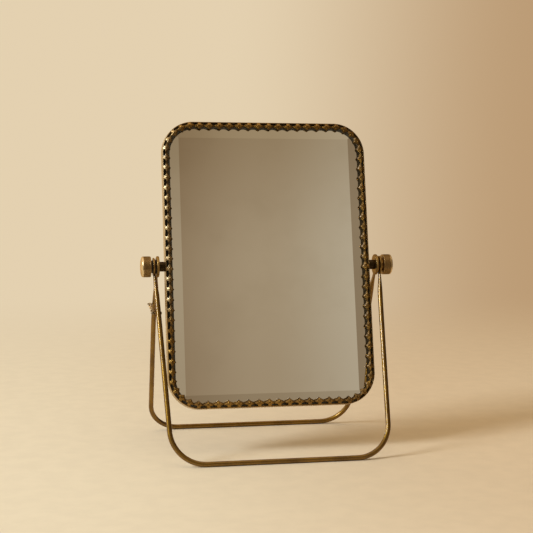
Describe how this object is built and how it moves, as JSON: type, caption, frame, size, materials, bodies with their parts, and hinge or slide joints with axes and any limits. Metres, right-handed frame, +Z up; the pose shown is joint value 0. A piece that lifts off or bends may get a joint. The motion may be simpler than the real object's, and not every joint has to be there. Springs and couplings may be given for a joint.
{
  "type": "tilting vanity mirror",
  "caption": "Free-standing table mirror: bevelled plate in a brass tray with a pierced leaf edge, tilting between folding wire legs that a stay chain holds apart.",
  "frame": {"origin": "on the table, under the middle of the whole object's box", "axes": "+X to the mirror's right as seen from the front, +Y to the back, +Z up; the mirror faces -Y"},
  "size_m": [0.2072, 0.142, 0.2637],
  "materials": {
    "brass_wire": "drawn wire, worn bright on top and browned underneath",
    "brass_tray": "aged sheet, satin and browned",
    "brass_gallery": "pierced and embossed sheet, dark in the recesses and rubbed bright on the leaves",
    "brass_turned": "turned and knurled, worn on the crowned end",
    "brass_lug": "turned, dull and dark",
    "brass_chain": "fine wire, dull",
    "fibre": "hard dark fibre washer",
    "board": "dark packing board, hidden behind the plate",
    "mirror": "silvered plate with a ground and polished bevel"
  },
  "bodies": {
    "front_leg": {"front_leg": "brass_wire", "right_front_lug": "brass_lug", "left_front_lug": "brass_lug", "right_inner_washer": "fibre", "left_inner_washer": "fibre", "right_outer_washer": "fibre", "left_outer_washer": "fibre", "front_chain_eye": "brass_chain", "stay_chain": "brass_chain"},
    "rear_leg": {"rear_leg": "brass_wire", "right_rear_lug": "brass_lug", "left_rear_lug": "brass_lug", "rear_chain_eye": "brass_chain"},
    "mirror": {"frame_band": "brass_tray", "gallery": "brass_gallery", "back_plate": "brass_tray", "backing_board": "board", "mirror_glass": "mirror", "right_boss": "brass_lug", "left_boss": "brass_lug", "right_stud": "brass_lug", "left_stud": "brass_lug"},
    "right_knob": {"right_knob": "brass_turned"},
    "left_knob": {"left_knob": "brass_turned"}
  },
  "joints": [
    {"name": "rear_leg_fold", "type": "hinge", "parent": "front_leg", "child": "rear_leg", "pos_m": [0, -0.008, 0.148], "axis": [-1, 0, 0], "range_deg": [0, 39], "deforming": ["stay_chain"]},
    {"name": "mirror_tilt", "type": "hinge", "parent": "front_leg", "child": "mirror", "pos_m": [0, -0.008, 0.148], "axis": [1, 0, 0], "continuous": true},
    {"name": "right_knob_turn", "type": "hinge", "parent": "mirror", "child": "right_knob", "pos_m": [0, -0.008, 0.148], "axis": [1, 0, 0], "continuous": true},
    {"name": "left_knob_turn", "type": "hinge", "parent": "mirror", "child": "left_knob", "pos_m": [0, -0.008, 0.148], "axis": [-1, 0, 0], "continuous": true}
  ]
}
